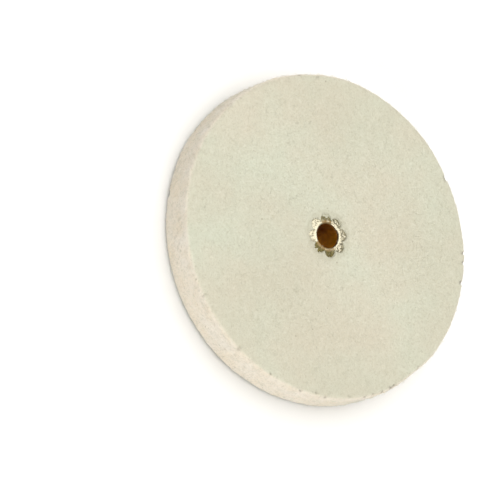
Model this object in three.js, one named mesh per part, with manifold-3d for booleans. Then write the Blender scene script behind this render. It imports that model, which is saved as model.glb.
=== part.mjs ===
// Felt polishing wheel for a 6 mm spindle: a pressed felt disc, with a one-piece metal eyelet
// clinched through its arbor hole.
// Millimetres, +Z up, along the spindle. The origin is the middle of the wheel, on the spindle's
// axis and halfway through the felt. The eyelet's petals are on the +Z face, its head on the -Z face.

import * as THREE from "three";
import { mergeVertices } from "three/addons/utils/BufferGeometryUtils.js";
import Module from "manifold-3d";

// Felt disc
const WHEEL_DIAMETER = 80;
const WHEEL_THICKNESS = 9.8;
const RIM_EDGE_RADIUS = 0.9;
const FELT_SEGMENTS = 80;

// Eyelet, a drawn sheet metal tube with a head at one end and petals at the other
const BORE_DIAMETER = 6;
const METAL_THICKNESS = 0.3;
const BELOW_FACE = 0.12;
const ROLL_RADIUS = 0.3;
const HEAD_RADIUS = 5.4;
const HEAD_LIP_DROP = 0.3;
const HEAD_LIP_WIDTH = 0.6;
const EYELET_SEGMENTS = 48;

// Petals of the clinched end
const PETALS = 8;
const PETAL_TIP_RADIUS = 5.35;
const PETAL_NOTCH_RADIUS = 3.65;
const PETAL_SLOPE = THREE.MathUtils.degToRad(10);
const PETAL_ROUNDNESS = 0.62;
const FIRST_PETAL_ANGLE = THREE.MathUtils.degToRad(28);
const PETAL_OUTLINE_STEPS = 12;

// Room between felt and metal
const GAP = 0.3;
const DIMPLE_FLOOR_RADIUS = 5.75;
const DIMPLE_EDGE_RADIUS = 6.9;
const DIMPLE_DEPTH = 1.15;

const ARC_STEPS = 4;
const MERGE_DISTANCE = 1e-4;
const CUTTER_MARGIN = 2;
const HALF = WHEEL_THICKNESS / 2;
const WALL_RADIUS = BORE_DIAMETER / 2 + METAL_THICKNESS / 2;
const CROWN = HALF - BELOW_FACE - METAL_THICKNESS / 2;

const wasm = await Module();
wasm.setup();

const feltMaterial = new THREE.MeshStandardMaterial({ color: 0xddd9c4, roughness: 0.95, metalness: 0 });
const metalMaterial = new THREE.MeshStandardMaterial({ color: 0xc4beab, roughness: 0.35, metalness: 0.9 });

// Turns a closed profile of (radius, height) points about the Z axis.
function turned(profile, segments) {
  return new THREE.LatheGeometry(profile, segments).rotateX(Math.PI / 2);
}

function toSolid(geometry) {
  const bare = geometry.clone().deleteAttribute("normal").deleteAttribute("uv");
  const merged = mergeVertices(bare, MERGE_DISTANCE);
  return new wasm.Manifold(
    new wasm.Mesh({
      numProp: 3,
      vertProperties: merged.attributes.position.array,
      triVerts: new Uint32Array(merged.index.array),
    }),
  );
}

function toGeometry(solid) {
  const { vertProperties, triVerts } = solid.getMesh();
  const geometry = new THREE.BufferGeometry();
  geometry.setAttribute("position", new THREE.BufferAttribute(vertProperties, 3));
  geometry.setIndex(new THREE.BufferAttribute(triVerts, 1));
  geometry.computeVertexNormals();
  return geometry;
}

// The felt disc: flat faces, soft rim edges, and a dimple round the bore on each face, where the
// eyelet pulls the felt down.
function feltDisc() {
  const radius = WHEEL_DIAMETER / 2;
  const bore = BORE_DIAMETER / 2 + METAL_THICKNESS + GAP;
  const floor = HALF - DIMPLE_DEPTH;
  const slope = (DIMPLE_EDGE_RADIUS - DIMPLE_FLOOR_RADIUS) / 2;
  const edge = RIM_EDGE_RADIUS;
  const outline = new THREE.Path();
  outline.moveTo(bore, -floor);
  outline.lineTo(DIMPLE_FLOOR_RADIUS, -floor);
  outline.bezierCurveTo(
    DIMPLE_FLOOR_RADIUS + slope / 2, -floor,
    DIMPLE_EDGE_RADIUS - slope, -HALF,
    DIMPLE_EDGE_RADIUS, -HALF,
  );
  outline.lineTo(radius - edge, -HALF);
  outline.absarc(radius - edge, edge - HALF, edge, -Math.PI / 2, 0);
  outline.lineTo(radius, HALF - edge);
  outline.absarc(radius - edge, HALF - edge, edge, 0, Math.PI / 2);
  outline.lineTo(DIMPLE_EDGE_RADIUS, HALF);
  outline.bezierCurveTo(
    DIMPLE_EDGE_RADIUS - slope, HALF,
    DIMPLE_FLOOR_RADIUS + slope / 2, floor,
    DIMPLE_FLOOR_RADIUS, floor,
  );
  outline.lineTo(bore, floor);
  outline.closePath();
  return turned(outline.getPoints(ARC_STEPS), FELT_SEGMENTS);
}

// The middle of the eyelet's sheet, from the edge of its head, through the bore, to just past the
// petal tips, which the petal cutter rounds.
function eyeletMidline() {
  const rollCentre = WALL_RADIUS + ROLL_RADIUS;
  const rollHeight = CROWN - ROLL_RADIUS;
  const petalStart = rollCentre + ROLL_RADIUS * Math.sin(PETAL_SLOPE);
  const petalHeight = rollHeight + ROLL_RADIUS * Math.cos(PETAL_SLOPE);
  const petalEnd = PETAL_TIP_RADIUS + METAL_THICKNESS;
  const petalDrop = (petalEnd - petalStart) * Math.tan(PETAL_SLOPE);
  const lipStart = HEAD_RADIUS - HEAD_LIP_WIDTH;
  const midline = new THREE.Path();
  midline.moveTo(HEAD_RADIUS, HEAD_LIP_DROP - CROWN);
  midline.quadraticCurveTo(HEAD_RADIUS - HEAD_LIP_WIDTH / 2, -CROWN, lipStart, -CROWN);
  midline.lineTo(rollCentre, -CROWN);
  midline.absarc(rollCentre, -rollHeight, ROLL_RADIUS, -Math.PI / 2, -Math.PI, true);
  midline.lineTo(WALL_RADIUS, rollHeight);
  midline.absarc(rollCentre, rollHeight, ROLL_RADIUS, Math.PI, Math.PI / 2 - PETAL_SLOPE, true);
  midline.lineTo(petalEnd, petalHeight - petalDrop);
  return midline.getPoints(ARC_STEPS);
}

// A closed outline that lies half the thickness to each side of a midline.
function thicken(midline, thickness) {
  const last = midline.length - 1;
  const left = [];
  const right = [];
  midline.forEach((point, i) => {
    const before = midline[Math.max(i - 1, 0)];
    const after = midline[Math.min(i + 1, last)];
    const along = after.clone().sub(before).normalize();
    const across = new THREE.Vector2(-along.y, along.x).multiplyScalar(thickness / 2);
    left.push(point.clone().add(across));
    right.push(point.clone().sub(across));
  });
  const outline = [...right, ...left.reverse()];
  return [...outline, outline[0]];
}

// The outline of the spread petals, seen along the spindle: round lobes with sharp notches.
function petalOutline() {
  const steps = PETALS * PETAL_OUTLINE_STEPS;
  const points = [];
  for (let i = 0; i < steps; i++) {
    const angle = (i / steps) * 2 * Math.PI;
    const lobe = Math.abs(Math.cos((angle * PETALS) / 2)) ** PETAL_ROUNDNESS;
    const radius = PETAL_NOTCH_RADIUS + (PETAL_TIP_RADIUS - PETAL_NOTCH_RADIUS) * lobe;
    const turn = angle + FIRST_PETAL_ANGLE;
    points.push(new THREE.Vector2(radius * Math.cos(turn), radius * Math.sin(turn)));
  }
  return points;
}

// The ring outside the petals, which cuts the notches from the turned lip. It starts inside the
// felt, below the petals, and ends above them.
function petalCutter() {
  const ring = new THREE.Shape().absarc(0, 0, PETAL_TIP_RADIUS + CUTTER_MARGIN, 0, 2 * Math.PI);
  ring.holes.push(new THREE.Path(petalOutline()).closePath());
  const depth = 2 * CUTTER_MARGIN;
  const cutter = new THREE.ExtrudeGeometry(ring, { depth, bevelEnabled: false });
  return cutter.translate(0, 0, CROWN - CUTTER_MARGIN);
}

function eyelet() {
  const blank = turned(thicken(eyeletMidline(), METAL_THICKNESS), EYELET_SEGMENTS);
  return toGeometry(toSolid(blank).subtract(toSolid(petalCutter())));
}

function named(name, geometry, material) {
  const mesh = new THREE.Mesh(geometry, material);
  mesh.name = name;
  return mesh;
}

const wheel = new THREE.Group();
wheel.add(named("felt_disc", feltDisc(), feltMaterial));
wheel.add(named("eyelet", eyelet(), metalMaterial));

export default wheel;
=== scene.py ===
"""Looks of a felt polishing wheel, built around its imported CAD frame.

The wheel lies flat on the floor with its arbor axis along +Z and the eyelet's petals on top. The
pressed felt disc and the metal eyelet clinched through its arbor hole are made here at full
surface detail, and stand for the two plain CAD solids. Everything is in metres, in the CAD frame.
"""

import logging
import math
from dataclasses import dataclass
from enum import Enum
from functools import reduce

import bmesh
import bpy
from mathutils import Matrix, Vector


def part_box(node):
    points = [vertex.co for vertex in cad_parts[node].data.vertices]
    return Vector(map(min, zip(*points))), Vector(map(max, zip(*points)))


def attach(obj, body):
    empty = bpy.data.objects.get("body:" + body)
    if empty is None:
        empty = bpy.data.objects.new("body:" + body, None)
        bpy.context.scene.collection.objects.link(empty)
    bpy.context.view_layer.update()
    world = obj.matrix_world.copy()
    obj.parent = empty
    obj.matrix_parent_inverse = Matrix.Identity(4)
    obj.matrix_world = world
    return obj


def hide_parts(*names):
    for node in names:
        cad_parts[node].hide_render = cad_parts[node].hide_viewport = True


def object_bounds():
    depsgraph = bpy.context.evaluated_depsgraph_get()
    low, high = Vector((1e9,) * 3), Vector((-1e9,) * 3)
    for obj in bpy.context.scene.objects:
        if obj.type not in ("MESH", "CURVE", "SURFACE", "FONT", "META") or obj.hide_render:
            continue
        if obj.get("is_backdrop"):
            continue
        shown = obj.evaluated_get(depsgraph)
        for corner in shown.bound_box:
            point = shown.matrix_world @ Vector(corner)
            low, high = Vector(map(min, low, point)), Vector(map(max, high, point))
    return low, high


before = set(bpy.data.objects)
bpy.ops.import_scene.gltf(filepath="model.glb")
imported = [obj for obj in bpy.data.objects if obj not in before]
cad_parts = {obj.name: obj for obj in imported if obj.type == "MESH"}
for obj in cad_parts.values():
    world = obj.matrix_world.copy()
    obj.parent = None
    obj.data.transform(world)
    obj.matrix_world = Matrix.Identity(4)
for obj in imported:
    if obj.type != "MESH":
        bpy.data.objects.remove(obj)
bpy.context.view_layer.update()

MM = 0.001
BODY = "root"
BORE_RADIUS = 3.0 * MM

Colour = tuple[float, float, float, float]
Feed = bpy.types.NodeSocket | float | int | bool | str | tuple[float, ...]

log = logging.getLogger("felt wheel")


class TreeKind(Enum):
    """The two kinds of node tree that are built here."""

    SHADER = "ShaderNodeTree"
    GEOMETRY = "GeometryNodeTree"


class Port(Enum):
    """The kinds of socket that the node groups have."""

    NUMBER = "NodeSocketFloat"
    WHOLE = "NodeSocketInt"
    VECTOR = "NodeSocketVector"
    MATERIAL = "NodeSocketMaterial"
    GEOMETRY = "NodeSocketGeometry"
    OBJECT = "NodeSocketObject"


VALUE_PORTS = {
    float: Port.NUMBER,
    int: Port.WHOLE,
    bpy.types.Object: Port.OBJECT,
    bpy.types.Material: Port.MATERIAL,
}
Values = dict[str, float | int | bpy.types.ID]


class Zone(Enum):
    """The mesh attributes that say which part of the felt or metal a point is on."""

    RIM = "rim"
    EDGE = "edge"
    HUB = "hub"
    NICK_SHADE = "nick"
    PETAL = "petal"
    ACROSS = "across"
    LEAN = "lean"
    TWIST = "twist"
    DULL_AND_SHADE = "dull"
    BORE = "bore"
    TONE = "tone"


def ease(low: float, high: float, value: float) -> float:
    """A smooth step.

    Args:
        low: Where the step starts.
        high: Where it ends.
        value: Where it is read.

    Returns:
        0 up to low, 1 from high on, and a smooth rise between them.
    """
    t = min(max((value - low) / (high - low), 0.0), 1.0)
    return t * t * (3.0 - 2.0 * t)


def polar(radius: float, angle: float, height: float) -> tuple[float, float, float]:
    """The point at a radius, an angle and a height about the arbor axis."""
    return radius * math.cos(angle), radius * math.sin(angle), height


def linear(level: int) -> float:
    """The linear value of one shown colour level, 0 to 255."""
    share = level / 255.0
    return share / 12.92 if share <= 0.04045 else ((share + 0.055) / 1.055) ** 2.4


def srgb(red: int, green: int, blue: int) -> Colour:
    """A shader's colour, from its red, green and blue as shown, 0 to 255."""
    return (linear(red), linear(green), linear(blue), 1.0)


@dataclass(frozen=True)
class Layer:
    """A colour that is laid over others, and how strongly it shows."""

    colour: Colour
    weight: float


class Graph:
    """Short calls that add nodes to one node tree and wire them."""

    def __init__(self, tree: bpy.types.NodeTree) -> None:
        """Keeps the tree that the nodes go into."""
        self.tree = tree

    def feed(self, socket: bpy.types.NodeSocket, value: Feed) -> None:
        """Links a socket to another, or sets its value.

        Args:
            socket: The input to feed.
            value: An output socket to link, or a plain value.
        """
        if isinstance(value, bpy.types.NodeSocket):
            self.tree.links.new(value, socket)
        else:
            socket.default_value = value

    def feed_all(self, node: bpy.types.Node, inputs: dict[str | int, Feed]) -> None:
        """Feeds some of a node's inputs, by their names or places."""
        for key, value in inputs.items():
            self.feed(node.inputs[key], value)

    def add(
        self, kind: str, inputs: dict[str | int, Feed] | None = None, **settings: object
    ) -> bpy.types.Node:
        """Adds one node.

        Args:
            kind: The node's type name.
            inputs: What feeds its inputs, by their names or places.
            **settings: The node's own properties.

        Returns:
            The new node.
        """
        node = self.tree.nodes.new(kind)
        for name, value in settings.items():
            setattr(node, name, value)
        self.feed_all(node, inputs or {})
        return node

    def effect(
        self, group: bpy.types.NodeTree, place: Feed, size: Feed, **values: Feed
    ) -> bpy.types.NodeOutputs:
        """Adds one of the shared shader groups.

        Args:
            group: The group's tree.
            place: The coordinates that it reads, in metres.
            size: The size of its pattern, in metres.
            **values: Its other inputs, by their names in lower case.

        Returns:
            The group node's outputs.
        """
        node = self.add("ShaderNodeGroup", node_tree=group)
        self.feed_all(node, {"Vector": place, "Size": size})
        self.feed_all(node, {name.capitalize(): value for name, value in values.items()})
        return node.outputs

    def math(self, operation: str, *values: Feed, clamp: bool = False) -> bpy.types.NodeSocket:
        """Adds a Math node, fed in order."""
        node = self.add("ShaderNodeMath", dict(enumerate(values)), operation=operation, use_clamp=clamp)
        return node.outputs["Value"]

    def product(self, *values: Feed) -> Feed:
        """Multiplies values, from the first on."""
        return reduce(lambda so_far, value: self.math("MULTIPLY", so_far, value), values)

    def total(self, *values: Feed) -> Feed:
        """Adds values up, from the first on."""
        return reduce(lambda so_far, value: self.math("ADD", so_far, value), values)

    def vector(self, operation: str, *values: Feed, **named: Feed) -> bpy.types.NodeSocket:
        """Adds a Vector Math node, fed in order, and by the names of its other inputs.

        Args:
            operation: What it does.
            *values: Its vectors in order.
            **named: Its other inputs, by their names in lower case.

        Returns:
            Its vector output.
        """
        node = self.add("ShaderNodeVectorMath", dict(enumerate(values)), operation=operation)
        self.feed_all(node, {name.capitalize(): value for name, value in named.items()})
        return node.outputs["Vector"]

    def combine(self, x: Feed = 0.0, y: Feed = 0.0, z: Feed = 0.0) -> bpy.types.NodeSocket:
        """A vector from its parts."""
        return self.add("ShaderNodeCombineXYZ", {"X": x, "Y": y, "Z": z}).outputs[0]

    def mix(self, amount: Feed, low: Feed, high: Feed) -> bpy.types.NodeSocket:
        """Mixes two colours: the amount says how much of the second shows."""
        return self.add("ShaderNodeMix", {0: amount, 6: low, 7: high}, data_type="RGBA").outputs[2]

    def lay(self, base: Feed, mask: Feed, layer: Layer) -> bpy.types.NodeSocket:
        """Lays a colour over a base one where the mask is."""
        return self.mix(self.product(mask, layer.weight), base, layer.colour)

    def remap(
        self, value: Feed, low: Feed, high: Feed, start: Feed = 0.0, end: Feed = 1.0
    ) -> bpy.types.NodeSocket:
        """Turns a value smoothly into start up to low, and into end from high on."""
        inputs = {"Value": value, "From Min": low, "From Max": high, "To Min": start, "To Max": end}
        return self.add("ShaderNodeMapRange", inputs, interpolation_type="SMOOTHSTEP").outputs["Result"]

    def noise(
        self, vector: Feed, size: Feed, detail: float = 2.0, distortion: float = 0.0
    ) -> bpy.types.NodeSocket:
        """Adds a Noise Texture.

        Args:
            vector: The coordinates, in metres.
            size: The size of its largest lumps, in metres.
            detail: How many finer octaves are added.
            distortion: How far the pattern is warped.

        Returns:
            The noise's value, about 0.5.
        """
        inputs = {"Vector": vector, "Scale": self.math("DIVIDE", 1.0, size)}
        inputs |= {"Detail": detail, "Distortion": distortion}
        return self.add("ShaderNodeTexNoise", inputs).outputs[0]

    def swing(self, noise: Feed, spread: float) -> bpy.types.NodeSocket:
        """Spreads a noise, which is about 0.5, to both sides of zero."""
        return self.math("MULTIPLY_ADD", noise, spread, -spread / 2)

    def bump(self, height: Feed, strength: float, distance: float) -> bpy.types.NodeSocket:
        """The normal of a surface that a height roughens."""
        inputs = {"Height": height, "Strength": strength, "Distance": distance}
        return self.add("ShaderNodeBump", inputs).outputs["Normal"]


class Skin(Graph):
    """The graph of one material, with its Principled shader and the place on the piece."""

    def __init__(self, name: str) -> None:
        """Makes the material.

        Args:
            name: The material's name.
        """
        self.material = bpy.data.materials.new(name)
        self.material.use_nodes = True
        super().__init__(self.material.node_tree)
        self.shader = self.tree.nodes["Principled BSDF"]
        self.place = self.add("ShaderNodeTexCoord").outputs["Object"]

    def attribute(self, zone: Zone) -> bpy.types.NodeSocket:
        """A mesh attribute's value."""
        return self.add("ShaderNodeAttribute", attribute_name=zone.value).outputs["Fac"]

    def dress(self, inputs: dict[str, Feed]) -> bpy.types.Material:
        """Feeds the shader's inputs and gives the material."""
        self.feed_all(self.shader, inputs)
        return self.material


class Group(Graph):
    """A node group with named inputs and outputs."""

    def __init__(
        self, name: str, kind: TreeKind, inputs: dict[str, Port] | Values, outputs: dict[str, Port]
    ) -> None:
        """Makes the group's tree and its sockets.

        Args:
            name: The group's name.
            kind: Shader or geometry.
            inputs: Each input's kind, or a first value that says its kind.
            outputs: Each output's kind.
        """
        super().__init__(bpy.data.node_groups.new(name, kind.value))
        for label, first in inputs.items():
            port = first if isinstance(first, Port) else VALUE_PORTS[type(first)]
            socket = self.tree.interface.new_socket(label, in_out="INPUT", socket_type=port.value)
            if port is not first:
                socket.default_value = first
        for label, port in outputs.items():
            self.tree.interface.new_socket(label, in_out="OUTPUT", socket_type=port.value)
        self.source = self.add("NodeGroupInput").outputs
        self.result = self.add("NodeGroupOutput").inputs

    def give(self, label: str, value: Feed) -> None:
        """Feeds one of the group's outputs."""
        self.feed(self.result[label], value)

    def identifiers(self) -> dict[str, str]:
        """The identifier of each input, by its name."""
        items = self.tree.interface.items_tree
        return {i.name: i.identifier for i in items if i.item_type == "SOCKET" and i.in_out == "INPUT"}

    def attribute(self, zone: Zone) -> bpy.types.NodeSocket:
        """A mesh attribute's value."""
        node = self.add("GeometryNodeInputNamedAttribute", {"Name": zone.value}, data_type="FLOAT")
        return node.outputs["Attribute"]

    def store(self, geometry: Feed, zone: Zone, value: Feed, domain: str) -> bpy.types.NodeSocket:
        """Geometry with a value kept as an attribute on its points or instances."""
        kept = {"Geometry": geometry, "Name": zone.value, "Value": value}
        return self.add("GeometryNodeStoreNamedAttribute", kept, data_type="FLOAT", domain=domain).outputs[0]

    def shift(self, geometry: Feed, offset: Feed) -> bpy.types.NodeSocket:
        """Geometry with its points moved."""
        return self.add("GeometryNodeSetPosition", {"Geometry": geometry, "Offset": offset}).outputs[0]

    def give_piece(self, label: str, geometry: Feed) -> None:
        """Gives out geometry with its instances made real and its material set.

        Args:
            label: The output that takes it.
            geometry: The geometry.
        """
        real = self.add("GeometryNodeRealizeInstances", {"Geometry": geometry}).outputs[0]
        dressed = {"Geometry": real, "Material": self.source["Material"]}
        self.give(label, self.add("GeometryNodeSetMaterial", dressed).outputs[0])


def effect_group(name: str, numbers: dict[str, float], *outputs: str) -> Group:
    """Starts a shader group that reads a place and some numbers."""
    inputs = {"Vector": Port.VECTOR} | numbers
    return Group(name, TreeKind.SHADER, inputs, dict.fromkeys(outputs, Port.NUMBER))


def piece_group(name: str, taken: str, values: Values, given: str) -> Group:
    """Starts a geometry group that turns one geometry into another, with an input for each value."""
    return Group(name, TreeKind.GEOMETRY, {taken: Port.GEOMETRY} | values, {given: Port.GEOMETRY})


class Effects:
    """The shader node groups that the finishes share, each built once."""

    def __init__(self) -> None:
        """Builds every group."""
        self.drift = self.build_drift()
        self.fibres = self.build_fibres()
        self.pebbles = self.build_pebbles()
        self.specks = self.build_specks()
        self.grime_and_shade = self.build_grime_and_shade()

    @staticmethod
    def build_drift() -> bpy.types.NodeTree:
        """Builds a slow cloudy change of tone, 0 to 1.

        Returns:
            The group's tree.
        """
        group = effect_group("colour drift", {"Size": 0.01, "Contrast": 2.0}, "Value")
        cloud = group.noise(group.source["Vector"], group.source["Size"], detail=3.0)
        centred = group.math("SUBTRACT", cloud, 0.5)
        group.give("Value", group.math("MULTIPLY_ADD", centred, group.source["Contrast"], 0.5, clamp=True))
        return group.tree

    @staticmethod
    def build_fibres() -> bpy.types.NodeTree:
        """Builds fine curling lines, as matted wool fibres lie on a pressed face.

        Returns:
            The group's tree.
        """
        group = effect_group("matted fibres", {"Size": 0.001, "Width": 0.03}, "Fibre")
        layers = {1.0: (0.4, 1.1, 0.2), 0.74: (1.3, 0.2, 2.1), 0.52: (2.2, 0.7, 0.9), 0.4: (0.9, 2.4, 1.6)}
        fibre: Feed = 0.0
        for share, turn in layers.items():
            turned = group.add("ShaderNodeMapping", {"Vector": group.source["Vector"], "Rotation": turn})
            size = group.product(group.source["Size"], share)
            value = group.noise(turned.outputs["Vector"], size, detail=1.0, distortion=0.6)
            off = group.math("ABSOLUTE", group.math("SUBTRACT", value, 0.5))
            fibre = group.math("MAXIMUM", fibre, group.remap(off, 0.0, group.source["Width"], 1.0, 0.0))
        group.give("Fibre", fibre)
        return group.tree

    @staticmethod
    def build_pebbles() -> bpy.types.NodeTree:
        """Builds the gritty lumps of a cut felt edge, and the pits between them, which are painted darker as
        painted shade.

        Returns:
            The group's tree.
        """
        group = effect_group("cut edge pebbles", {"Size": 0.001}, "Height", "Pit shade")
        size = group.source["Size"]
        warp = group.noise(group.source["Vector"], size, detail=2.0)
        shift = group.vector("SCALE", (1.0, 1.0, 1.0), scale=group.product(warp, size))
        place = group.vector("ADD", group.source["Vector"], shift)
        cells = {"Vector": place, "Scale": group.math("DIVIDE", 1.0, size), "Smoothness": 0.6}
        lumps = group.add("ShaderNodeTexVoronoi", cells, feature="SMOOTH_F1")
        lump = group.remap(lumps.outputs["Distance"], 0.0, 0.8, 1.0, 0.0)
        fine = group.noise(place, group.product(size, 0.35), detail=3.0)
        group.give("Height", group.math("MULTIPLY_ADD", fine, 0.5, lump))
        coarse = group.noise(place, group.product(size, 1.7), detail=4.0)
        group.give("Pit shade", group.remap(coarse, 0.36, 0.27))
        return group.tree

    @staticmethod
    def build_specks() -> bpy.types.NodeTree:
        """Builds sparse small specks of stray matter.

        Returns:
            The group's tree.
        """
        group = effect_group("stray specks", {"Size": 0.004, "Share": 0.2}, "Mask")
        scale = group.math("DIVIDE", 1.0, group.source["Size"])
        cells = group.add("ShaderNodeTexVoronoi", {"Vector": group.source["Vector"], "Scale": scale})
        pick = group.add("ShaderNodeSeparateColor", {0: cells.outputs["Color"]})
        chosen = group.math("LESS_THAN", pick.outputs[0], group.source["Share"])
        reach = group.math("MULTIPLY_ADD", pick.outputs[1], 0.07, 0.03)
        spot = group.remap(cells.outputs["Distance"], reach, group.product(reach, 0.4))
        group.give("Mask", group.product(spot, chosen))
        return group.tree

    @staticmethod
    def build_grime_and_shade() -> bpy.types.NodeTree:
        """Builds a mask that gathers where Amount is high, with a broken edge: dirt and painted shade on the
        felt, tarnishing and painted shade on the metal.

        Returns:
            The group's tree.
        """
        group = effect_group("gathered grime", {"Size": 0.001, "Amount": 0.5}, "Mask")
        patch = group.noise(group.source["Vector"], group.source["Size"], detail=5.0)
        level = group.total(group.product(patch, 1.4), group.source["Amount"])
        group.give("Mask", group.remap(level, 0.75, 1.45))
        return group.tree


@dataclass(frozen=True)
class FeltFinish:
    """White pressed wool felt: fine matted fibres on its faces and a gritty cut rim."""

    face_cool: Colour = srgb(205, 207, 187)
    face_warm: Colour = srgb(212, 204, 184)
    # The rim's colours are lighter than the faces': partly the cut rim's own pinker tone, partly painted
    # light for the extra light its sides catch.
    rim_pale_and_lit: Colour = srgb(233, 225, 212)
    rim_warm_and_lit: Colour = srgb(230, 217, 195)
    # Painted shade in the pits of the gritty rim.
    pit_shade: Colour = srgb(150, 132, 98)
    handled: Layer = Layer(srgb(180, 178, 155), 0.3)
    # Painted shade in the grain's low spots.
    hollow_shade: Layer = Layer(srgb(176, 170, 146), 0.34)
    fibre: Layer = Layer(srgb(226, 226, 214), 0.22)
    # Painted shade in the nicks and torn patches of the edges.
    nick: Layer = Layer(srgb(112, 104, 84), 0.85)
    speck: Layer = Layer(srgb(132, 118, 92), 0.55)
    # Dirt near the eyelet, and painted shade where the felt meets the petals.
    grime_and_shade: Layer = Layer(srgb(176, 170, 146), 0.26)
    cloud_size: float = 16 * MM
    mottle_size: float = 5 * MM
    handled_size: float = 30 * MM
    fibre_size: float = 1.3 * MM
    nap_size: float = 0.55 * MM
    grit_size: float = 0.9 * MM
    speck_size: float = 3.2 * MM
    grime_and_shade_size: float = 1.2 * MM
    grain_size: float = 0.5 * MM
    bump_strength: float = 0.7
    bump_depth: float = 0.09 * MM

    def material(self, effects: Effects) -> bpy.types.Material:
        """Builds the felt's material.

        Args:
            effects: The shared shader groups.

        Returns:
            The material.
        """
        skin = Skin("pressed wool felt")
        place = skin.place
        rim = skin.attribute(Zone.RIM)
        cloud = skin.effect(effects.drift, place, self.cloud_size, contrast=2.6)["Value"]
        mottle = skin.effect(effects.drift, place, self.mottle_size, contrast=2.2)["Value"]
        handled = skin.effect(effects.drift, place, self.handled_size, contrast=3.0)["Value"]
        fibre = skin.effect(effects.fibres, place, self.fibre_size, width=0.035)["Fibre"]
        nap = skin.effect(effects.fibres, place, self.nap_size, width=0.05)["Fibre"]
        grit = skin.effect(effects.pebbles, place, self.grit_size)
        speck = skin.effect(effects.specks, place, self.speck_size, share=0.16)["Mask"]
        grime_and_shade = skin.effect(effects.grime_and_shade, place, self.grime_and_shade_size, amount=skin.attribute(Zone.HUB))["Mask"]
        grain = skin.noise(place, self.grain_size, detail=4.0)

        face = skin.mix(cloud, self.face_cool, self.face_warm)
        face = skin.lay(face, handled, self.handled)
        # The rim is painted lighter than the faces: partly its own tone, partly painted light.
        colour = skin.mix(rim, face, skin.mix(mottle, self.rim_pale_and_lit, self.rim_warm_and_lit))
        # Painted shade: darker where the grain, which the bump also sinks, is low.
        colour = skin.lay(colour, skin.remap(grain, 0.52, 0.3), self.hollow_shade)
        colour = skin.lay(colour, fibre, self.fibre)
        # Painted shade: the pits, mostly on the rim, are painted darker.
        pit_shade = skin.product(grit["Pit shade"], skin.math("MULTIPLY_ADD", rim, 0.22, 0.05))
        colour = skin.mix(pit_shade, colour, self.pit_shade)
        # Painted shade: the nicks and torn patches are painted dark.
        colour = skin.lay(colour, skin.attribute(Zone.NICK_SHADE), self.nick)
        colour = skin.lay(colour, speck, self.speck)
        # Darker near the eyelet: dirt, and painted shade around the petals.
        colour = skin.lay(colour, grime_and_shade, self.grime_and_shade)

        gritty = skin.product(grit["Height"], skin.math("MULTIPLY_ADD", rim, 0.9, 0.12))
        matted = skin.math("MULTIPLY_ADD", fibre, 0.45, skin.product(nap, 0.25))
        height = skin.total(gritty, matted, skin.product(grain, 0.5))
        return skin.dress(
            {
                "Base Color": colour,
                "Roughness": skin.remap(grain, 0.3, 0.7, 0.98, 0.86),
                "Normal": skin.bump(height, self.bump_strength, self.bump_depth),
                "Specular IOR Level": 0.2,
                "Sheen Weight": 0.2,
                "Sheen Roughness": 0.6,
            }
        )


@dataclass(frozen=True)
class FibreFinish:
    """A loose wool fibre, each a little lighter or darker than the next."""

    light: Colour = srgb(228, 227, 214)
    dark: Colour = srgb(207, 205, 187)
    mottle_size: float = 6 * MM

    def material(self, effects: Effects) -> bpy.types.Material:
        """Builds the fibres' material.

        Args:
            effects: The shared shader groups.

        Returns:
            The material.
        """
        skin = Skin("loose wool fibre")
        mottle = skin.effect(effects.drift, skin.place, self.mottle_size, contrast=1.5)["Value"]
        tone = skin.math("MULTIPLY_ADD", skin.attribute(Zone.TONE), 0.7, skin.product(mottle, 0.3))
        return skin.dress(
            {
                "Base Color": skin.mix(tone, self.dark, self.light),
                "Roughness": skin.remap(mottle, 0.0, 1.0, 0.75, 0.9),
                "Specular IOR Level": 0.3,
            }
        )


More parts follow.
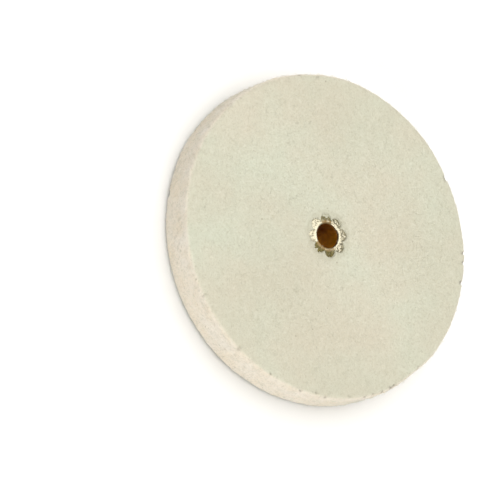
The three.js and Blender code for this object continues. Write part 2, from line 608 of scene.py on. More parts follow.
@dataclass(frozen=True)
class PlateFinish:
    """Thin bright plate on drawn sheet metal, dulled in its creases with painted shade lines and dark specks,
    painted darker on some petals as tarnished plate and as painted shade, and brown inside the bore as a
    stain and as painted shade, lighter on the bore's +X side as painted light.
    """

    bright: Colour = srgb(198, 191, 168)
    # Tarnished plate, and painted shade for petals that reflect little light.
    dull: Colour = srgb(124, 114, 66)
    stained: Colour = srgb(148, 124, 84)
    # Painted shade in the petals' creases, and small dark specks.
    crease_shade_and_speck: Colour = srgb(70, 62, 38)
    # The bore is painted brown, as a stain and as painted shade inside the tube, lighter on its +X side as
    # painted light.
    bore_lit_side: Colour = srgb(214, 152, 14)
    bore_shaded_side: Colour = srgb(127, 75, 2)
    head_dull: float = 0.35
    head_to_petals: float = 1 * MM
    crease_shade_weight: float = 0.45
    speck_weight: float = 0.85
    tarnish_and_shade_size: float = 1.1 * MM
    speck_size: float = 0.9 * MM
    crease_shade_size: float = 1.5 * MM
    mottle_size: float = 1.6 * MM
    dent_size: float = 0.8 * MM
    bump_strength: float = 0.5
    bump_depth: float = 0.05 * MM

    def material(self, effects: Effects) -> bpy.types.Material:
        """Builds the eyelet's material.

        Args:
            effects: The shared shader groups.

        Returns:
            The material.
        """
        skin = Skin("plated sheet metal")
        place = skin.place
        along = skin.add("ShaderNodeSeparateXYZ", {"Vector": place}).outputs
        outward = skin.vector("NORMALIZE", skin.vector("MULTIPLY", place, (1.0, 1.0, 0.0)))
        drawn = skin.vector("ADD", outward, skin.vector("SCALE", place, scale=40.0))
        lines = skin.noise(drawn, 0.05, detail=3.0)
        bore = skin.attribute(Zone.BORE)
        petals_side = skin.remap(along["Z"], -self.head_to_petals, self.head_to_petals)
        # Some petals are painted dark: tarnished plate, and painted shade for petals that reflect little
        # light. The head below is only tarnished.
        amount = skin.math("MULTIPLY_ADD", skin.attribute(Zone.DULL_AND_SHADE), 0.95, -0.1 - self.head_dull)
        amount = skin.math("MULTIPLY_ADD", amount, petals_side, self.head_dull)
        tarnish_and_shade = skin.effect(effects.grime_and_shade, place, self.tarnish_and_shade_size, amount=amount)["Mask"]
        speck = skin.effect(effects.specks, place, self.speck_size, share=0.6)["Mask"]
        crease_shade_lines = skin.effect(effects.fibres, place, self.crease_shade_size, width=0.045)["Fibre"]

        spread = skin.remap(skin.attribute(Zone.PETAL), 0.05, 0.3)
        colour = skin.mix(tarnish_and_shade, self.bright, skin.mix(spread, self.stained, self.dull))
        # Painted shade: thin dark crease lines on the petals, with small dark specks.
        crease_shade_lines = skin.product(crease_shade_lines, spread, self.crease_shade_weight)
        marks = skin.math("MAXIMUM", crease_shade_lines, skin.product(speck, self.speck_weight))
        colour = skin.mix(marks, colour, self.crease_shade_and_speck)
        # Painted light and shade: the bore's brown is lighter on its +X side and darker on its -X side.
        mottle = skin.math("SUBTRACT", skin.noise(place, self.mottle_size, detail=4.0), 0.5)
        painted_light_side = skin.math("MULTIPLY_ADD", along["X"], 0.6 / BORE_RADIUS, mottle)
        inside = skin.mix(skin.remap(painted_light_side, -0.6, 0.6), self.bore_shaded_side, self.bore_lit_side)
        dulled_metal = skin.math("MAXIMUM", tarnish_and_shade, bore)
        rough = skin.total(skin.remap(dulled_metal, 0.0, 1.0, 0.22, 0.5), skin.remap(lines, 0.3, 0.7, 0.0, 0.1))
        height = skin.math("MULTIPLY_ADD", lines, 0.25, skin.noise(place, self.dent_size, detail=2.0))
        return skin.dress(
            {
                "Base Color": skin.mix(bore, colour, inside),
                "Metallic": skin.remap(dulled_metal, 0.0, 1.0, 1.0, 0.75),
                "Roughness": rough,
                "Normal": skin.bump(height, self.bump_strength, self.bump_depth),
            }
        )


def placed(name: str, mesh: bpy.types.Mesh) -> bpy.types.Object:
    """Puts a mesh in the scene.

    Args:
        name: The object's name.
        mesh: Its mesh.

    Returns:
        The new object, at the origin.
    """
    piece = bpy.data.objects.new(name, mesh)
    bpy.context.scene.collection.objects.link(piece)
    return piece


def finished(name: str, source: bpy.types.Object) -> bpy.types.Object:
    """Turns an object with modifiers into a plain one and removes the first.

    Args:
        name: The finished object's name.
        source: The object whose modifiers are applied.

    Returns:
        A new object at the origin that holds the evaluated mesh.
    """
    graph = bpy.context.evaluated_depsgraph_get()
    mesh = bpy.data.meshes.new_from_object(source.evaluated_get(graph))
    bpy.data.objects.remove(source)
    mesh.name = name
    return placed(name, mesh)


def modify(piece: bpy.types.Object, group: Group, values: Values) -> None:
    """Adds a geometry node group to an object.

    Args:
        piece: The object.
        group: The geometry node group.
        values: The values of its named inputs.
    """
    modifier = piece.modifiers.new(group.tree.name, "NODES")
    modifier.node_group = group.tree
    names = group.identifiers()
    for label, value in values.items():
        modifier[names[label]] = value


def zoned_mesh(
    name: str,
    points: list[tuple[float, float, float]],
    faces: list[tuple[int, ...]],
    zones: dict[Zone, list[float]],
) -> bpy.types.Mesh:
    """Makes a mesh with a number for each point and zone.

    Args:
        name: The mesh's name.
        points: Its points.
        faces: Its faces, by the places of their points.
        zones: The value of each zone's attribute at each point.

    Returns:
        The mesh.
    """
    mesh = bpy.data.meshes.new(name)
    mesh.from_pydata(points, [], faces)
    for zone, values in zones.items():
        mesh.attributes.new(zone.value, "FLOAT", "POINT").data.foreach_set("value", values)
    return mesh


def tidy_shell(mesh: bpy.types.Mesh) -> None:
    """Merges a closed shell's doubles and turns its faces outwards.

    Args:
        mesh: The shell.
    """
    shell = bmesh.new()
    shell.from_mesh(mesh)
    bmesh.ops.remove_doubles(shell, verts=shell.verts, dist=0.0005 * MM)
    bmesh.ops.recalc_face_normals(shell, faces=shell.faces)
    shell.to_mesh(mesh)
    shell.free()
    mesh.shade_smooth()


def arc_points(
    centre: tuple[float, float], radius: float, start: float, end: float, steps: int
) -> list[tuple[float, float]]:
    """Points along an arc, from one step past its start to its end."""
    turns = (start + (end - start) * i / steps for i in range(1, steps + 1))
    return [(centre[0] + radius * math.cos(turn), centre[1] + radius * math.sin(turn)) for turn in turns]


@dataclass(frozen=True)
class Petal:
    """How one petal was spread: its tip's height, its slant from side to side, and how dark it is painted, as
    tarnished plate and as painted shade.
    """

    lean: float
    twist: float
    dull: float


@dataclass(frozen=True)
class Eyelet:
    """The metal eyelet: a drawn tube with a plain head below and spread petals on top."""

    top: float
    bore: float
    thickness: float = 0.3 * MM
    below_face: float = 0.12 * MM
    roll: float = 0.3 * MM
    head: float = 5.4 * MM
    lip_width: float = 0.6 * MM
    lip_drop: float = 0.3 * MM
    lip_steps: int = 4
    tip: float = 5.35 * MM
    notch: float = 3.65 * MM
    roundness: float = 0.62
    fullness: float = 0.35
    slope: float = math.radians(10.0)
    trough: float = 0.14 * MM
    trough_start: float = 0.6
    curl: float = 0.2 * MM
    first_petal: float = math.radians(28.0)
    across: int = 30
    along: int = 14
    arc: int = 8
    levels: int = 9
    # How far the bore's painted brown, a stain and painted shade, reaches, and how far below the mouth it
    # fades out.
    stain_and_shade_reach: float = 0.09 * MM
    bore_fade_depth: float = 0.3 * MM
    crumple: float = 0.15 * MM
    crumple_size: float = 0.9 * MM
    dents: tuple[tuple[float, float], ...] = ((1.0, 4.0), (0.4, 2.2))
    cut_edge: float = 0.05 * MM
    # Each petal's darkness is painted: tarnished plate, and painted shade.
    petals: tuple[Petal, ...] = (
        Petal(lean=0.32 * MM, twist=0.05 * MM, dull=0.0),
        Petal(lean=0.34 * MM, twist=-0.06 * MM, dull=0.0),
        Petal(lean=0.02 * MM, twist=0.1 * MM, dull=0.3),
        Petal(lean=-0.1 * MM, twist=0.03 * MM, dull=0.75),
        Petal(lean=0.05 * MM, twist=-0.1 * MM, dull=0.05),
        Petal(lean=-0.02 * MM, twist=0.06 * MM, dull=0.15),
        Petal(lean=-0.12 * MM, twist=-0.08 * MM, dull=1.0),
        Petal(lean=0.03 * MM, twist=0.02 * MM, dull=0.8),
    )

    @property
    def crown(self) -> float:
        """Height of the middle of the sheet at the top of the rolled collar."""
        return self.top - self.below_face - self.thickness / 2

    @property
    def wall(self) -> float:
        """Radius of the middle of the tube's wall."""
        return self.bore + self.thickness / 2

    def outline(self, across: float) -> float:
        """How far a petal reaches from the axis, at a place across it from -1 to 1."""
        lobe = max(math.cos(math.pi * across / 2), 0.0) ** self.roundness
        return self.notch + (self.tip - self.notch) * lobe

    def across_at(self, angle: float) -> float:
        """Where a direction from the axis falls on its nearest petal, from -1 to 1."""
        pitch = 2 * math.pi / len(self.petals)
        return 2 * math.remainder(angle - self.first_petal, pitch) / pitch

    def sheet_height(self, radius: float) -> float:
        """Height of the middle of the untilted petals.

        Args:
            radius: Distance from the axis.

        Returns:
            The height there.
        """
        start = self.wall + self.roll * (1 + math.sin(self.slope))
        height = self.crown - self.roll * (1 - math.cos(self.slope))
        return height - max(radius - start, 0.0) * math.tan(self.slope)

    def stations(self) -> list[tuple[float, float]]:
        """The middle of the sheet, from the head's lip through the tube to the petals' root.

        Returns:
            Points as radius and height.
        """
        inner = self.wall + self.roll
        low, high = self.roll - self.crown, self.crown - self.roll
        flat = self.head - self.lip_width
        points = []
        for i in range(self.lip_steps + 1):
            share = i / self.lip_steps
            points.append((self.head - self.lip_width * share, self.lip_drop * (1 - share) ** 2 - self.crown))
        for i in range(1, self.lip_steps + 1):
            points.append((flat + (inner - flat) * i / self.lip_steps, -self.crown))
        points += arc_points((inner, low), self.roll, -math.pi / 2, -math.pi, self.arc)
        for i in range(1, self.levels + 1):
            share = (1 - math.cos(math.pi * i / self.levels)) / 2
            points.append((self.wall, low + (high - low) * share))
        points += arc_points((inner, high), self.roll, math.pi, math.pi / 2 - self.slope, self.arc)
        return points

    def rows(self) -> list[tuple[float, ...]]:
        """The points of one petal and its share of tube and head, row by row outwards.

        Returns:
            Each point's radius, height, place across, place along the petal, and share of bore.
        """
        stations = self.stations()
        root = stations[-1][0]
        mouth = self.crown - self.roll
        places = [2 * j / self.across - 1 for j in range(self.across + 1)]
        rows: list[tuple[float, ...]] = []
        for radius, height in stations:
            # How much of the bore's painted brown, a stain and painted shade, a point takes.
            inside = 1 - ease(self.wall, self.wall + self.stain_and_shade_reach, radius)
            inside *= 1 - ease(mouth - self.bore_fade_depth, mouth, height)
            rows += [(radius, height, across, 0.0, inside) for across in places]
        for i in range(1, self.along + 1):
            share = i / self.along
            for across in places:
                radius = root + share * (self.outline(across) - root)
                full = max(math.cos(math.pi * across / 2), 0.0) ** self.fullness
                sunk = self.trough * (1 - across**2) * ease(0.0, self.trough_start, share)
                height = self.sheet_height(radius) - full * (sunk + self.curl * share**3)
                rows.append((radius, height, across, share * full, 0.0))
        return rows

    def sector_mesh(self) -> bpy.types.Mesh:
        """Makes the middle of the sheet for one petal and its share of tube and head.

        Returns:
            An open mesh centred on the X direction, with across, petal and bore attributes.
        """
        rows = self.rows()
        half_pitch = math.pi / len(self.petals)
        points = [polar(radius, half_pitch * across, height) for radius, height, across, _, _ in rows]
        width = self.across + 1
        faces = []
        for i in range(len(rows) // width - 1):
            for j in range(self.across):
                corner = i * width + j
                faces.append((corner, corner + 1, corner + width + 1, corner + width))
        columns = zip(*(row[2:] for row in rows))
        zones = dict(zip((Zone.ACROSS, Zone.PETAL, Zone.BORE), map(list, columns)))
        return zoned_mesh("eyelet sector", points, faces, zones)

    def seats_mesh(self) -> bpy.types.Mesh:
        """Makes a point on the axis for each petal.

        Returns:
            The points, with attributes for how each petal was spread.
        """
        zones = {
            Zone.LEAN: [petal.lean for petal in self.petals],
            Zone.TWIST: [petal.twist for petal in self.petals],
            Zone.DULL_AND_SHADE: [petal.dull for petal in self.petals],
        }
        return zoned_mesh("petal seats", [(0.0, 0.0, 0.0)] * len(self.petals), [], zones)

    def ring_group(self, values: Values) -> Group:
        """Builds the tree that sets the sectors round the axis and bends each petal its own way.

        Args:
            values: The values of its named inputs.

        Returns:
            The geometry node group.
        """
        group = piece_group("petal ring", "Seats", values, "Eyelet")
        source = group.source
        index = group.add("GeometryNodeInputIndex").outputs[0]
        pitch = group.math("DIVIDE", 2 * math.pi, source["Petals"])
        turn = group.math("MULTIPLY_ADD", index, pitch, source["First angle"])
        sector = group.add("GeometryNodeObjectInfo", {"Object": source["Sector"], "As Instance": True})
        seated = {"Points": source["Seats"], "Instance": sector.outputs["Geometry"]}
        seated["Rotation"] = group.combine(z=turn)
        ring = group.add("GeometryNodeInstanceOnPoints", seated).outputs[0]
        real = group.add("GeometryNodeRealizeInstances", {"Geometry": ring}).outputs[0]
        joined = group.add("GeometryNodeMergeByDistance", {"Geometry": real, "Distance": 0.001 * MM})

        petal = group.attribute(Zone.PETAL)
        slant = group.product(group.attribute(Zone.ACROSS), group.attribute(Zone.TWIST))
        rise = group.product(petal, group.total(group.attribute(Zone.LEAN), slant))
        place = group.add("GeometryNodeInputPosition").outputs[0]
        dents = []
        for share, strength in self.dents:
            patch = group.noise(place, group.product(source["Crumple size"], share), detail=1.0)
            dents.append(group.swing(patch, strength))
        free = group.remap(petal, 0.0, 0.4, 0.3, 1.0)
        crumpled = group.product(group.total(*dents), source["Crumple"], free)
        offset = group.combine(z=group.total(crumpled, rise))
        group.give_piece("Eyelet", group.shift(joined.outputs[0], offset))
        return group

    def build(self, effects: Effects) -> bpy.types.Object:
        """Makes the eyelet.

        Args:
            effects: The shared shader groups.

        Returns:
            The finished piece.
        """
        raw = placed("eyelet raw", self.seats_mesh())
        sector = placed("eyelet sector", self.sector_mesh())
        values = {
            "Sector": sector,
            "Petals": len(self.petals),
            "First angle": self.first_petal,
            "Crumple": self.crumple,
            "Crumple size": self.crumple_size,
            "Material": PlateFinish().material(effects),
        }
        modify(raw, self.ring_group(values), values)
        sheet = raw.modifiers.new("sheet thickness", "SOLIDIFY")
        sheet.thickness = self.thickness
        sheet.offset = 0.0
        soften = raw.modifiers.new("cut edges", "BEVEL")
        soften.width = self.cut_edge
        soften.segments = 2
        soften.limit_method = "ANGLE"
        soften.angle_limit = math.radians(50.0)
        piece = finished("clinched_eyelet", raw)
        bpy.data.objects.remove(sector)
        tidy_shell(piece.data)
        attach(piece, BODY)
        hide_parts("eyelet")
        return piece


@dataclass(frozen=True)
class Ring:
    """One closed ring of points on the felt's ideal, unworn surface."""

    radius: float
    height: float
    count: int
    rim: float = 0.0
    edge: float = 0.0

    @property
    def side(self) -> float:
        """1 on the front half and -1 on the back one."""
        return math.copysign(1.0, self.height)

    def mirrored(self) -> "Ring":
        """The same ring on the other half."""
        return Ring(self.radius, -self.height, self.count, self.rim, self.edge)


@dataclass(frozen=True)
class Nick:
    """A bite torn out of the edge between a face and the rim, at an angle in degrees."""

    angle: float
    span: float
    depth: float
    side: int = 1

    def bite(self, radius: float, angle: float, side: float) -> float:
        """How deep the bite is at a place on the edge.

        Args:
            radius: The rim's radius.
            angle: Direction from the axis.
            side: 1 on the front edge and -1 on the back one.

        Returns:
            The depth, 0 outside the bite.
        """
        along = radius * abs(math.remainder(angle - math.radians(self.angle), 2 * math.pi))
        return self.depth * (1 - ease(0.15 * self.span, 0.5 * self.span, along)) * (side == self.side)


@dataclass(frozen=True)
class Swell:
    """Ups and downs of one size in the felt's surface, and whether they go on under the metal."""

    label: str
    size: float
    detail: float
    height: float
    under_metal: bool = False


@dataclass(frozen=True)
class FeltDisc:
    """The pressed felt disc, dimpled round the eyelet on both faces."""

    radius: float
    half: float
    eyelet: Eyelet
    bore: float = 3.46 * MM
    fillet: float = 1.0 * MM
    hub_reach: float = 8.0 * MM
    hub_step: float = 0.13 * MM
    middle_reach: float = 16.0 * MM
    middle_step: float = 0.36 * MM
    face_step: float = 0.7 * MM
    rim_step: float = 0.5 * MM
    edge_steps: int = 6
    bore_steps: int = 6
    round_steps: int = 240
    pucker: float = 0.05 * MM
    pucker_reach: float = 8.0 * MM
    shoulder: float = 0.24 * MM
    overlap: float = 0.1 * MM
    tuck_reach: float = 0.66 * MM
    bite: float = 0.05 * MM
    flat_angle: float = math.radians(13.0)
    flat_depth: float = 0.4 * MM
    flat_width: float = math.radians(15.0)
    shrink: float = 0.1 * MM
    soiled_and_shaded: float = 1.6 * MM
    # How deep a nick must be to be painted fully dark, as painted shade.
    nick_shade_depth: float = 0.3 * MM
    nick_slant: float = 0.6
    pebble_size: float = 1.5 * MM
    pebble_height: float = 0.12 * MM
    tear_size: float = 1.7 * MM
    tear_patches: float = 22 * MM
    tear_depth: float = 0.5 * MM
    waves: tuple[tuple[int, float, float], ...] = (
        (2, 0.1 * MM, 1.9),
        (3, 0.07 * MM, 0.4),
        (5, 0.05 * MM, 2.2),
        (9, 0.03 * MM, 4.0),
        (17, 0.02 * MM, 1.0),
    )
    swells: tuple[Swell, ...] = (
        Swell("Wave height", 14 * MM, 1.0, 0.06 * MM),
        Swell("Lump height", 3.2 * MM, 2.0, 0.03 * MM),
        Swell("Grain height", 1.1 * MM, 3.0, 0.03 * MM, under_metal=True),
    )
    nicks: tuple[Nick, ...] = (
        Nick(94.0, 2.6 * MM, 0.32 * MM),
        Nick(66.0, 0.9 * MM, 0.5 * MM),
        Nick(62.5, 1.3 * MM, 0.3 * MM),
        Nick(55.0, 1.4 * MM, 0.6 * MM),
        Nick(-64.0, 1.6 * MM, 0.11 * MM),
        Nick(130.0, 1.5 * MM, 0.5 * MM, side=-1),
        Nick(-20.0, 1.1 * MM, 0.4 * MM, side=-1),
        Nick(235.0, 1.8 * MM, 0.35 * MM, side=-1),
    )

    def face_rings(self) -> list[Ring]:
        """The rings of one face, from the bore out to the start of the rim's round edge.

        Returns:
            The rings, finer towards the eyelet.
        """
        rings = []
        spans = (
            (self.bore, self.hub_reach, self.hub_step, self.round_steps),
            (self.hub_reach, self.middle_reach, self.middle_step, self.round_steps),
            (self.middle_reach, self.radius - self.fillet, self.face_step, 2 * self.round_steps),
        )
        for start, stop, step, count in spans:
            steps = round((stop - start) / step)
            rings += [Ring(start + (stop - start) * i / steps, self.half, count) for i in range(steps)]
        return rings

    def edge_rings(self) -> list[Ring]:
        """The rings of the round edge between a face and the rim.

        Returns:
            The rings, from the face to the rim.
        """
        rings = []
        for i in range(self.edge_steps + 1):
            share = i / self.edge_steps
            turn = math.pi / 2 * (1 - share)
            radius = self.radius - self.fillet * (1 - math.cos(turn))
            height = self.half - self.fillet * (1 - math.sin(turn))
            edge = math.sin(math.pi * (i + 0.5) / (self.edge_steps + 1))
            rings.append(Ring(radius, height, 4 * self.round_steps, ease(0.1, 0.7, share), edge))
        return rings

    def rings(self) -> list[Ring]:
        """Every ring, from the front bore edge over the rim to the back bore edge and up the bore.

        Returns:
            The rings in order.
        """
        front = self.face_rings() + self.edge_rings()
        back = [ring.mirrored() for ring in reversed(front)]
        wall = self.half - self.fillet
        steps = round(2 * wall / self.rim_step)
        heights = [wall - 2 * wall * i / steps for i in range(1, steps)]
        side = [Ring(self.radius, height, 4 * self.round_steps, rim=1.0) for height in heights]
        depth = self.dimple(self.bore, 0.0, 1.0)
        heights = [(depth - self.half) * (1 - 2 * i / self.bore_steps) for i in range(1, self.bore_steps)]
        inside = [Ring(self.bore, height, self.round_steps) for height in heights]
        return front + side + back + inside

    def dimple(self, radius: float, angle: float, side: float) -> float:
        """How far the eyelet pulls a face down.

        Args:
            radius: Distance from the axis.
            angle: Direction from the axis.
            side: 1 on the front face and -1 on the back.

        Returns:
            The depth below the flat face.
        """
        eyelet = self.eyelet
        pucker = self.pucker * (1 - ease(eyelet.notch, self.pucker_reach, radius))
        reach = eyelet.outline(eyelet.across_at(angle)) if side > 0 else eyelet.head
        under = self.half - (eyelet.sheet_height(min(radius, eyelet.tip)) if side > 0 else eyelet.crown)
        under += eyelet.thickness / 2 - self.bite
        held = 1 - ease(-self.overlap, self.shoulder, radius - reach)
        tuck = eyelet.roll * (1 - ease(self.bore, eyelet.wall + self.tuck_reach, radius))
        return max(pucker, held * under + (1 - held) * pucker) + held * tuck

    def outline(self, angle: float) -> float:
        """How far the rim stands out of the true circle, or in.

        Args:
            angle: Direction from the axis.

        Returns:
            The distance, more than 0 outwards.
        """
        drift = sum(size * math.sin(count * angle + phase) for count, size, phase in self.waves)
        off = abs(math.remainder(angle - self.flat_angle, 2 * math.pi))
        return drift - self.flat_depth * (1 - ease(0.0, self.flat_width, off)) - self.shrink

    def torn(self, ring: Ring, angle: float) -> float:
        """How deep the deepest nick is on a ring.

        Args:
            ring: The ring.
            angle: Direction from the axis.

        Returns:
            The depth, 0 away from the edges.
        """
        if not ring.edge:
            return 0.0
        return max(nick.bite(self.radius, angle, ring.side) for nick in self.nicks)

    def point(self, ring: Ring, angle: float) -> tuple[float, float, float]:
        """The place of one point of a ring.

        Args:
            ring: The ring.
            angle: The point's direction from the axis.

        Returns:
            The point, with the dimple, the nicks and the outline's drift.
        """
        torn = ring.edge * self.torn(ring, angle)
        radius = ring.radius + self.outline(angle) * ease(0.4 * self.radius, self.radius, ring.radius) - torn
        height = ring.height - ring.side * self.nick_slant * torn
        if ring.radius < self.pucker_reach and abs(abs(height) - self.half) < 0.01 * MM:
            height -= ring.side * self.dimple(radius, angle, ring.side)
        return polar(radius, angle, height)

    def base_mesh(self) -> bpy.types.Mesh:
        """Makes the closed smooth shell that the surface relief is added to.

        Returns:
            The mesh, with rim, edge and hub attributes, and one that paints the nicks dark as painted shade.
        """
        rings = self.rings()
        points, starts, marks, faces = [], [], [], []
        for ring in rings:
            starts.append(len(points))
            # Near the petals' tips the felt is painted darker: dirt, and painted shade.
            near = 1 - ease(self.eyelet.tip, self.eyelet.tip + self.soiled_and_shaded, ring.radius)
            for j in range(ring.count):
                angle = 2 * math.pi * j / ring.count
                points.append(self.point(ring, angle))
                # Painted shade: the deeper the nick, the darker its felt is painted.
                nick_shade = ring.edge * min(self.torn(ring, angle) / self.nick_shade_depth, 1.0)
                marks.append((ring.rim, ring.edge, near, nick_shade))
        for i, ring in enumerate(rings):
            following = (i + 1) % len(rings)
            faces += self.band(starts[i], ring.count, starts[following], rings[following].count)
        zones = dict(zip((Zone.RIM, Zone.EDGE, Zone.HUB, Zone.NICK_SHADE), map(list, zip(*marks))))
        mesh = zoned_mesh("felt shell", points, faces, zones)
        tidy_shell(mesh)
        return mesh

    @staticmethod
    def band(start: int, count: int, after: int, after_count: int) -> list[tuple[int, ...]]:
        """The faces between two rings, whose counts are equal or differ by a factor of two.

        Args:
            start: The first ring's first point.
            count: The first ring's number of points.
            after: The second ring's first point.
            after_count: The second ring's number of points.

        Returns:
            The faces, by the places of their points.
        """
        if count < after_count:
            return [tuple(reversed(face)) for face in FeltDisc.band(after, after_count, start, count)]
        faces: list[tuple[int, ...]] = []
        for j in range(after_count):
            low, next_low = after + j, after + (j + 1) % after_count
            if count == after_count:
                faces.append((start + j, start + (j + 1) % count, next_low, low))
                continue
            first, middle, last = (start + (2 * j + k) % count for k in range(3))
            faces += [(first, middle, low), (middle, next_low, low), (middle, last, next_low)]
        return faces

    def relief_group(self, values: Values) -> Group:
        """Builds the tree that gives the felt its waves, grain, gritty rim and nicked edges.

        Args:
            values: The values of its named inputs.

        Returns:
            The geometry node group.
        """
        group = piece_group("felt relief", "Felt", values, "Felt")
        source = group.source
        place = group.add("GeometryNodeInputPosition").outputs[0]
        free = group.math("SUBTRACT", 1.0, group.attribute(Zone.HUB))
        heights = []
        for swell in self.swells:
            centred = group.swing(group.noise(place, swell.size, detail=swell.detail), 4.0)
            share = 1.0 if swell.under_metal else free
            heights.append(group.product(centred, source[swell.label], share))
        cells = {"Vector": place, "Scale": 1 / self.pebble_size, "Smoothness": 0.5}
        pebbles = group.add("ShaderNodeTexVoronoi", cells, feature="SMOOTH_F1")
        pebble = group.remap(pebbles.outputs["Distance"], 0.0, 0.8, 0.5, -0.5)
        heights.append(group.product(pebble, group.attribute(Zone.RIM), source["Pebble height"]))

        chewed = group.remap(group.noise(place, self.tear_patches, detail=1.0), 0.47, 0.6, 0.15, 1.0)
        tears = group.remap(group.noise(place, self.tear_size, detail=3.0), 0.58, 0.7)
        torn = group.product(tears, group.attribute(Zone.EDGE), chewed)
        height = group.math("SUBTRACT", group.total(*heights), group.product(torn, source["Tear depth"]))
        # The torn patches join the nicks in the attribute that paints them dark, as painted shade.
        nick = group.math("MAXIMUM", torn, group.attribute(Zone.NICK_SHADE))
        stored = group.store(source["Felt"], Zone.NICK_SHADE, nick, "POINT")
        normal = group.add("GeometryNodeInputNormal").outputs[0]
        group.give_piece("Felt", group.shift(stored, group.vector("SCALE", normal, scale=height)))
        return group

    def build(self, effects: Effects) -> bpy.types.Object:
        """Makes the felt disc.

        Args:
            effects: The shared shader groups.

        Returns:
            The finished piece.
        """
        raw = placed("felt raw", self.base_mesh())
        values = {swell.label: swell.height for swell in self.swells}
        values |= {"Pebble height": self.pebble_height, "Tear depth": self.tear_depth}
        values["Material"] = FeltFinish().material(effects)
        modify(raw, self.relief_group(values), values)
        piece = finished("pressed_felt", raw)
        piece.data.shade_smooth()
        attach(piece, BODY)
        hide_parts("felt_disc")
        return piece


@dataclass(frozen=True)
class LooseFibres:
    """Wool fibres that have worked loose from the felt's faces, or from its rim."""

    name: str
    on_faces: bool
    count: int
    length: float
    width: float
    lift: float
    seed: int

    def fibre_curve(self, group: Group) -> bpy.types.NodeSocket:
        """Adds the nodes of one thin arched fibre along X.

        Args:
            group: The tree that they go into.

        Returns:
            The fibre's geometry.
        """
        length = group.source["Length"]
        half, quarter = group.product(length, 0.5), group.product(length, 0.25)
        arch = {
            "Resolution": 4,
            "Start": (0.0, 0.0, -0.05 * MM),
            "Middle": group.combine(half, quarter, quarter),
            "End": group.combine(length),
        }
        curve = group.add("GeometryNodeCurveQuadraticBezier", arch).outputs[0]
        thick = group.product(group.source["Width"], 0.5)
        section = group.add("GeometryNodeCurvePrimitiveCircle", {"Resolution": 3, "Radius": thick}).outputs[0]
        swept = {"Curve": curve, "Profile Curve": section, "Fill Caps": True}
        return group.add("GeometryNodeCurveToMesh", swept).outputs[0]

    @staticmethod
    def chance(group: Group, low: float, high: float, draw: int) -> bpy.types.NodeSocket:
        """Adds a random number for each fibre.

        Args:
            group: The tree that it goes into.
            low: The least it may be.
            high: The most.
            draw: A number that sets it apart from the other random numbers.

        Returns:
            The number.
        """
        seed = group.total(group.source["Seed"], draw)
        drawn = {2: low, 3: high, "Seed": seed}
        return group.add("FunctionNodeRandomValue", drawn, data_type="FLOAT").outputs[1]

    def scatter_group(self, values: Values) -> Group:
        """Builds the tree that scatters curved fibres over the felt.

        Args:
            values: The values of its named inputs.

        Returns:
            The geometry node group.
        """
        group = piece_group(f"scatter {self.name}", "Felt", values, "Fibres")
        source = group.source
        share = group.attribute(Zone.RIM)
        if self.on_faces:
            share = group.math("LESS_THAN", group.total(share, group.attribute(Zone.EDGE)), 0.01)
        spread = {"Mesh": source["Felt"], "Density": group.product(source["Density"], share)}
        spread["Seed"] = source["Seed"]
        scattered = group.add("GeometryNodeDistributePointsOnFaces", spread).outputs
        size = self.chance(group, 0.45, 1.3, 1)
        stood = {
            "Points": scattered["Points"],
            "Instance": self.fibre_curve(group),
            "Rotation": scattered["Rotation"],
            "Scale": group.combine(size, size, size),
        }
        current = group.add("GeometryNodeInstanceOnPoints", stood).outputs["Instances"]
        pitch = group.product(self.chance(group, -1.0, 0.15, 2), source["Lift"])
        yaw = self.chance(group, -math.pi, math.pi, 3)
        for turn in (group.combine(z=yaw), group.combine(y=pitch)):
            turned = {"Instances": current, "Rotation": turn, "Local Space": True}
            current = group.add("GeometryNodeRotateInstances", turned).outputs[0]
        toned = group.store(current, Zone.TONE, self.chance(group, 0.0, 1.0, 4), "INSTANCE")
        group.give_piece("Fibres", toned)
        return group

    def ground(self, mesh: bpy.types.Mesh) -> float:
        """The area that the fibres stand on.

        Args:
            mesh: The felt's mesh.

        Returns:
            The area in square metres.
        """
        rim, edge = (mesh.attributes[zone.value].data for zone in (Zone.RIM, Zone.EDGE))
        total = 0.0
        for face in mesh.polygons:
            corner = face.vertices[0]
            share = rim[corner].value
            if self.on_faces:
                share = float(share + edge[corner].value < 0.01)
            total += face.area * share
        return total

    def build(self, felt: bpy.types.Object, material: bpy.types.Material) -> bpy.types.Object:
        """Makes the fibres.

        Args:
            felt: The finished felt disc that they stand on.
            material: The fibres' material.

        Returns:
            The finished piece.
        """
        raw = placed(f"{self.name} raw", felt.data.copy())
        values = {
            "Density": self.count / self.ground(felt.data),
            "Length": self.length,
            "Width": self.width,
            "Lift": self.lift,
            "Seed": self.seed,
            "Material": material,
        }
        modify(raw, self.scatter_group(values), values)
        piece = finished(self.name, raw)
        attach(piece, BODY)
        return piece


@dataclass(frozen=True)
class Softbox:
    """A rectangular area light that faces the wheel, with its power in watts."""

    name: str
    place: tuple[float, float, float]
    size: tuple[float, float]
    power: float
    tint: tuple[float, float, float]

    def build(self) -> None:
        """Hangs the light."""
        lamp = bpy.data.lights.new(self.name, "AREA")
        lamp.shape = "RECTANGLE"
        lamp.size, lamp.size_y = self.size
        lamp.energy = self.power
        lamp.color = self.tint
        holder = bpy.data.objects.new(self.name, lamp)
        holder.location = self.place
        holder.rotation_euler = (-Vector(self.place)).to_track_quat("-Z", "Y").to_euler()
        bpy.context.scene.collection.objects.link(holder)


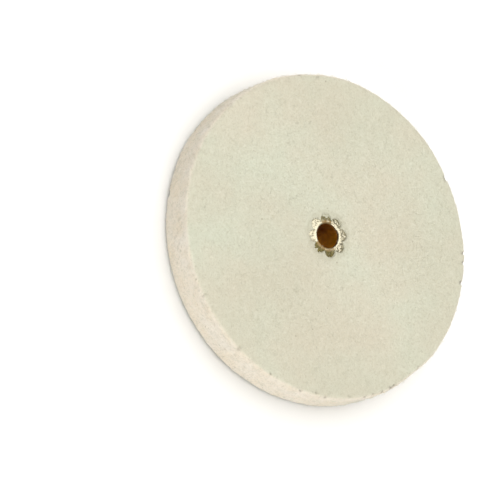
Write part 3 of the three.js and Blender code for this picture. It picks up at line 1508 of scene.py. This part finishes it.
@dataclass(frozen=True)
class Studio:
    """The floor, the soft lights and the camera."""

    floor: float
    face: float
    floor_radius: float = 4.0
    floor_warm: Colour = (0.9, 0.9, 0.895, 1.0)
    floor_light: Colour = (0.92, 0.92, 0.92, 1.0)
    around: Colour = (0.3, 0.295, 0.275, 1.0)
    backdrop: Colour = (0.94, 0.94, 0.94, 1.0)
    elevation: float = math.radians(55.9)
    roll: float = math.radians(69.1)
    distance: float = 1.0266
    lens: float = 321.0
    sensor: float = 36.0
    aside: float = -21.2 * MM
    above: float = -1.1 * MM
    softboxes: tuple[Softbox, ...] = (
        Softbox("overhead softbox", (-0.35, 0.1, 1.45), (2.2, 2.4), 31.0, (1.0, 0.995, 0.98)),
        Softbox("low front softbox", (1.1, -1.1, 0.55), (1.4, 0.9), 14.5, (1.0, 0.985, 0.975)),
        Softbox("back softbox", (0.15, 1.5, 1.1), (1.2, 0.7), 3.4, (1.0, 0.98, 0.94)),
    )

    def build_floor(self) -> None:
        """Makes the plain pale floor."""
        mesh = bpy.data.meshes.new("floor")
        shape = bmesh.new()
        bmesh.ops.create_circle(shape, cap_ends=True, segments=96, radius=self.floor_radius)
        shape.to_mesh(mesh)
        shape.free()
        piece = placed("floor", mesh)
        piece.location.z = self.floor
        skin = Skin("pale floor")
        tone = skin.mix(skin.noise(skin.place, 0.3), self.floor_warm, self.floor_light)
        mesh.materials.append(skin.dress({"Base Color": tone, "Roughness": 0.9, "Specular IOR Level": 0.1}))
        piece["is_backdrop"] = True

    def build_world(self) -> None:
        """Sets the pale surroundings, which the camera sees lighter than the wheel does."""
        world = bpy.data.worlds.new("studio")
        world.use_nodes = True
        bpy.context.scene.world = world
        graph = Graph(world.node_tree)
        seen = graph.add("ShaderNodeLightPath").outputs["Is Camera Ray"]
        shown = graph.mix(seen, self.around, self.backdrop)
        graph.feed(world.node_tree.nodes["Background"].inputs["Color"], shown)

    def build_camera(self) -> None:
        """Sets the camera over the wheel, turned about its line of sight as the view is."""
        back = Vector((0.0, -math.cos(self.elevation), math.sin(self.elevation)))
        level = Vector((1.0, 0.0, 0.0))
        upright = back.cross(level)
        right = level * math.cos(self.roll) + upright * math.sin(self.roll)
        up = back.cross(right)
        lens = bpy.data.cameras.new("camera")
        lens.lens = self.lens
        lens.sensor_width = self.sensor
        lens.clip_start, lens.clip_end = 0.05, 20.0
        camera = bpy.data.objects.new("camera", lens)
        target = Vector((0.0, 0.0, self.face))
        place = target + back * self.distance + right * self.aside + up * self.above
        camera.matrix_world = Matrix.Translation(place) @ Matrix((right, up, back)).transposed().to_4x4()
        bpy.context.scene.collection.objects.link(camera)
        bpy.context.scene.camera = camera

    def build(self) -> None:
        """Makes the whole studio."""
        self.build_floor()
        for softbox in self.softboxes:
            softbox.build()
        self.build_world()
        self.build_camera()
        bpy.context.scene.view_settings.view_transform = "Standard"


def main() -> None:
    """Builds the wheel's pieces and the studio, and reports each piece."""
    logging.basicConfig(level=logging.INFO, format="%(name)s: %(message)s")
    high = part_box("felt_disc")[1]
    effects = Effects()
    eyelet = Eyelet(top=high.z, bore=BORE_RADIUS)
    felt = FeltDisc(radius=high.x, half=high.z, eyelet=eyelet)
    pieces = [eyelet.build(effects), felt.build(effects)]
    wool = FibreFinish().material(effects)
    for fibres in (
        LooseFibres("rim_fibres", False, 3200, length=0.8 * MM, width=0.045 * MM, lift=0.45, seed=11),
        LooseFibres("face_fibres", True, 3600, length=1.4 * MM, width=0.035 * MM, lift=0.08, seed=23),
    ):
        pieces.append(fibres.build(pieces[1], wool))
    for piece in pieces:
        piece.data.calc_loop_triangles()
        log.info("%s: %d triangles", piece.name, len(piece.data.loop_triangles))
    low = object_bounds()[0]
    Studio(floor=low[2], face=high.z).build()


if __name__ == "__main__":
    main()
